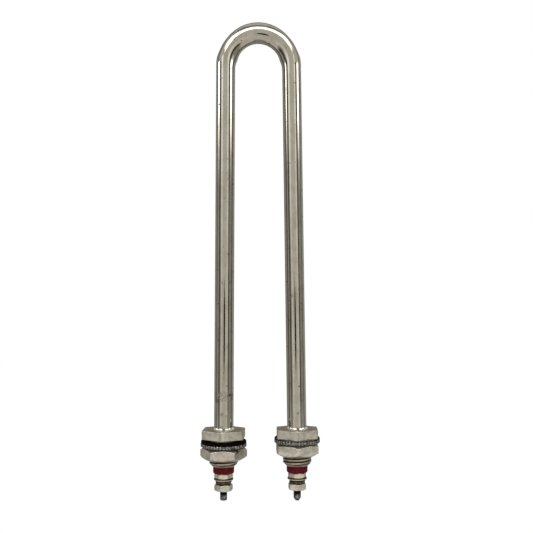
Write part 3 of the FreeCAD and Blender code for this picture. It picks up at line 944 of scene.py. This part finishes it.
# On each stud a thin nut holds the seal, and a flat washer, a split spring washer and an outer
# nut would grip a wire's eyelet. The spring washers are browned from hardening. The upper
# part of each flat washer, under the thin nut, is painted dark as painted shade.
small_nut_flat_radius = 4.0 * mm
small_nut_face_radius = 3.95 * mm
small_bore = 2.15 * mm
small_nut_turns = {
    "left_base_nut": math.radians(-5), "right_base_nut": math.radians(11),
    "left_terminal_nut": math.radians(11), "right_terminal_nut": math.radians(34),
}
flat_washer_softness = 0.34 * mm
unshaded_share = 0.45
washer_edge_wear = 0.5
spring_turns = {"left": math.radians(35), "right": math.radians(150)}
spring_softness = 0.14 * mm
spring_section = 1.1 * mm
spring_width = 1.75 * mm
spring_share = 0.96
spring_stations = 72

for node, turn in small_nut_turns.items():
    low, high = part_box(node)
    axis = (low.x + high.x) / 2
    nut = turned(
        f"{node}_hexagon", axis, hexagon_azimuths(),
        lambda azimuth: nut_section(
            azimuth, small_nut_flat_radius, small_bore, low.z, high.z, small_nut_face_radius
        ),
        turn,
    )
    fit(nut, node, plated_steel)

spring_steel = metal_finish(
    "spring_steel",
    clean=(0.12, 0.095, 0.062, 1),
    stained=(0.022, 0.016, 0.01, 1),
    roughness=0.34,
    stains_per_metre=900,
    relief_depth=0.06 * mm,
    pitted=0.66,
    stain_range=(0.40, 0.58),
)

for side, turn in spring_turns.items():
    low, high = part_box(f"{side}_flat_washer")
    axis = (low.x + high.x) / 2
    rim = (high.x - low.x) / 2
    painted_shade_from = low.z + unshaded_share * (high.z - low.z)
    section = flat_ring_section(small_bore, rim, low.z, high.z, flat_washer_softness)
    # Above that height the washer is painted dark: painted shade under the thin nut.
    section = [
        (radius, height, -1.0 if height > painted_shade_from else washer_edge_wear * worn)
        for radius, height, worn in section
    ]
    washer = turned(
        f"{side}_plain_washer", axis, even_azimuths(points_round_ring), lambda azimuth: section
    )
    fit(washer, f"{side}_flat_washer", plated_steel)

    low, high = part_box(f"{side}_spring_washer")
    rise = high.z - low.z - spring_section
    rings = []
    for station in range(spring_stations + 1):
        share = station / spring_stations
        azimuth = turn + 2 * math.pi * spring_share * share
        bottom = low.z + rise * share
        wire = flat_ring_section(
            small_bore, small_bore + spring_width, bottom, bottom + spring_section, spring_softness
        )
        rings.append([
            (axis + radius * math.cos(azimuth), radius * math.sin(azimuth), height, edge_tone)
            for radius, height, edge_tone in wire
        ])
    spring = skin(f"{side}_split_washer", rings, False)
    fit(spring, f"{side}_spring_washer", spring_steel)

# The studio: a white floor well below the part, a white world, large soft panels that light it
# and show as stripes in the polished tube, and grey screens that the tube's sides mirror.
floor_height = -0.30
floor_half = 4.0
floor_colour = (0.92, 0.92, 0.92, 1)
floor_glow = 1.04
floor_glow_share = 0.93
world_light = 0.55


def seen_directly(tree):
    """1 for what the camera, a mirror or a glass shows, 0 for what only lights."""
    path = tree.nodes.new("ShaderNodeLightPath")
    mirrored = combine(
        tree, "MAXIMUM", path.outputs["Is Glossy Ray"], path.outputs["Is Transmission Ray"]
    )
    return combine(tree, "MAXIMUM", path.outputs["Is Camera Ray"], mirrored)


world = bpy.data.worlds.new("white_studio")
bpy.context.scene.world = world
world.use_nodes = True
tree = world.node_tree
tree.nodes.clear()
strength = between(tree, seen_directly(tree), 0, 1, world_light, 1.0)
background = add_node(tree, "ShaderNodeBackground", Color=(1, 1, 1, 1), Strength=strength)
add_node(tree, "ShaderNodeOutputWorld", Surface=background.outputs["Background"])

floor_paint, shader = new_finish("floor_paint")
tree = floor_paint.node_tree
shader.inputs["Base Color"].default_value = floor_colour
shader.inputs["Roughness"].default_value = 1.0
shader.inputs["Specular IOR Level"].default_value = 0.0
glow = add_node(tree, "ShaderNodeEmission", Color=(1, 1, 1, 1), Strength=floor_glow)
share = between(tree, seen_directly(tree), 0, 1, 0.0, floor_glow_share)
mixed = add_node(tree, "ShaderNodeMixShader", Fac=share)
tree.links.new(shader.outputs["BSDF"], mixed.inputs[1])
tree.links.new(glow.outputs["Emission"], mixed.inputs[2])
tree.links.new(mixed.outputs["Shader"], tree.nodes["Material Output"].inputs["Surface"])

floor_mesh = bpy.data.meshes.new("floor")
floor_corners = [
    (-floor_half, -floor_half, floor_height), (floor_half, -floor_half, floor_height),
    (floor_half, floor_half, floor_height), (-floor_half, floor_half, floor_height),
]
floor_mesh.from_pydata(floor_corners, [], [(0, 1, 2, 3)])
floor = bpy.data.objects.new("floor", floor_mesh)
bpy.context.scene.collection.objects.link(floor)
floor_mesh.materials.append(floor_paint)

card_distance = 0.9
card_columns = 24
cool_tone = (0.92, 0.95, 1.0, 1)
cool_above = 2
warm_tone = (1.0, 0.90, 0.74, 1)
warm_below = 0.3
plain_tone = (1, 1, 1, 1)


def studio_card(name, start, end, heights, brightness, fade=None, lights=True, sharpness=1.0):
    """A curved card round the part, from one direction to another, in degrees right of the
    front. Each height goes with a share of the distance. The camera doesn't see the card. Its
    lower edge may fade in over two heights. The bright panels are cool, the darkest screens
    warm."""
    points = []
    for step in range(card_columns + 1):
        turn = math.radians(start + (end - start) * step / card_columns)
        for height, pull in heights:
            reach = card_distance * pull
            points.append((reach * math.sin(turn), -reach * math.cos(turn), height))
    rows = len(heights)
    faces = []
    for column in range(card_columns):
        for row in range(rows - 1):
            here = column * rows + row
            faces.append((here, here + rows, here + rows + 1, here + 1))
    mesh = bpy.data.meshes.new(name)
    mesh.from_pydata(points, [], faces)
    card = bpy.data.objects.new(name, mesh)
    bpy.context.scene.collection.objects.link(card)
    material = bpy.data.materials.new(name)
    material.use_nodes = True
    tree = material.node_tree
    tree.nodes.clear()
    tone = plain_tone
    if brightness > cool_above:
        tone = cool_tone
    if brightness < warm_below:
        tone = warm_tone
    glow = add_node(tree, "ShaderNodeEmission", Color=tone, Strength=brightness)
    surface = glow.outputs["Emission"]
    if fade:
        place = add_node(tree, "ShaderNodeSeparateXYZ", Vector=surface_place(tree))
        shown = combine(tree, "POWER", between(tree, place.outputs["Z"], *fade), sharpness)
        clear = add_node(tree, "ShaderNodeBsdfTransparent")
        mixed = add_node(tree, "ShaderNodeMixShader", Fac=shown)
        tree.links.new(clear.outputs["BSDF"], mixed.inputs[1])
        tree.links.new(surface, mixed.inputs[2])
        surface = mixed.outputs["Shader"]
    add_node(tree, "ShaderNodeOutputMaterial", Surface=surface)
    mesh.materials.append(material)
    card.visible_camera = False
    card.visible_shadow = False
    card.visible_diffuse = lights


screen_heights = [(floor_height, 1.0), (0.49, 1.0)]
back_heights = [(floor_height, 1.0), (1.9, 1.0)]
screen_fade = (-0.27, -0.09)
panel_heights = [(0.2, 0.96), (0.47, 0.96)]
panel_fade = (0.22, 0.39)
panel_sharpness = 2.8
panel_brightness = 6.6
stripe_heights = [(0.1, 0.95), (0.62, 0.95)]
stripe_fade = (0.12, 0.45)
overhead_heights = [(0.62, 0.85), (0.9, 0.62)]
overhead_side_heights = [(0.72, 0.80), (0.9, 0.62)]
overhead_brightness = 6.0
canopy_heights = [(1.0, 0.62), (1.15, 0.32)]
canopy_grey = 0.35
ground_height = floor_height + 0.01
ground_grey = 0.50

for name, start, end, heights, grey, fade in (
    ("screen_left_back", -180, -148, back_heights, 0.21, None),
    ("screen_left_behind", -148, -120, back_heights, 0.52, None),
    ("screen_left_far", -120, -104, back_heights, 0.44, None),
    ("screen_left_gap", -104, -94, back_heights, 0.26, None),
    ("screen_left", -94, -72, screen_heights, 0.60, screen_fade),
    ("screen_left_dark", -72, -58, screen_heights, 0.12, screen_fade),
    ("screen_left_front", -58, -46, screen_heights, 0.42, screen_fade),
    ("screen_right_dark", 42, 54, screen_heights, 0.08, screen_fade),
    ("screen_right", 54, 90, screen_heights, 0.50, screen_fade),
    ("screen_right_gap", 90, 101, back_heights, 0.26, None),
    ("screen_right_behind", 101, 148, back_heights, 0.60, None),
    ("screen_right_back", 148, 180, back_heights, 0.21, None),
):
    studio_card(name, start, end, heights, grey, fade, lights=False)
for name, start, end, bright in (("reflector_left", -46, -29, 1.22), ("reflector_right", 21, 42, 1.18)):
    studio_card(name, start, end, screen_heights, bright, lights=False)

for name, start, end in (("panel_left", -97.5, -75), ("panel_right", 60, 82)):
    studio_card(name, start, end, panel_heights, panel_brightness, panel_fade, sharpness=panel_sharpness)
for name, start, end, bright in (("stripe_left", -52, -33, 2.3), ("stripe_right", 23, 36, 2.1)):
    studio_card(name, start, end, stripe_heights, bright, stripe_fade, lights=False)
for name, start, end, heights in (
    ("panel_overhead", -34, 34, overhead_heights),
    ("panel_overhead_left", -52, -34, overhead_side_heights),
    ("panel_overhead_right", 34, 52, overhead_side_heights),
):
    studio_card(name, start, end, heights, overhead_brightness)
studio_card("canopy", -70, 70, canopy_heights, canopy_grey, lights=False)
for name, start, end, reach in (("ground_behind", 90, 270, 1.0), ("ground_in_front", -90, 90, 0.26)):
    ground_heights = [(ground_height, 0.0), (ground_height, reach)]
    studio_card(name, start, end, ground_heights, ground_grey, lights=False)

# The camera and its stand are dark, and the polished legs mirror them as a thin line. They are
# one flat black shape, just behind the camera's place, that only mirrors show.
camera_body_half = 0.060
camera_body_low = -0.018
camera_body_high = 0.092
camera_body_taper = 0.034
camera_body_behind = 0.03
camera_body_black = (0.01, 0.01, 0.01, 1)

body_y = camera_place.y - camera_body_behind
body_left = camera_place.x - camera_body_half
body_right = camera_place.x + camera_body_half
body_shoulder = camera_body_high - camera_body_taper
body_hip = camera_body_low + camera_body_taper
body_mesh = bpy.data.meshes.new("camera_shade")
body_mesh.from_pydata([
    (body_left, body_y, body_hip),
    (camera_place.x, body_y, camera_body_low),
    (body_right, body_y, body_hip),
    (body_right, body_y, body_shoulder),
    (camera_place.x, body_y, camera_body_high),
    (body_left, body_y, body_shoulder),
], [], [(0, 1, 2, 3, 4, 5)])
camera_shade = bpy.data.objects.new("camera_shade", body_mesh)
bpy.context.scene.collection.objects.link(camera_shade)
shade_paint, shader = new_finish("shade_paint")
shader.inputs["Base Color"].default_value = camera_body_black
shader.inputs["Roughness"].default_value = 0.9
body_mesh.materials.append(shade_paint)
camera_shade.visible_camera = False
camera_shade.visible_diffuse = False
camera_shade.visible_shadow = False

bpy.context.scene.view_settings.view_transform = "Standard"
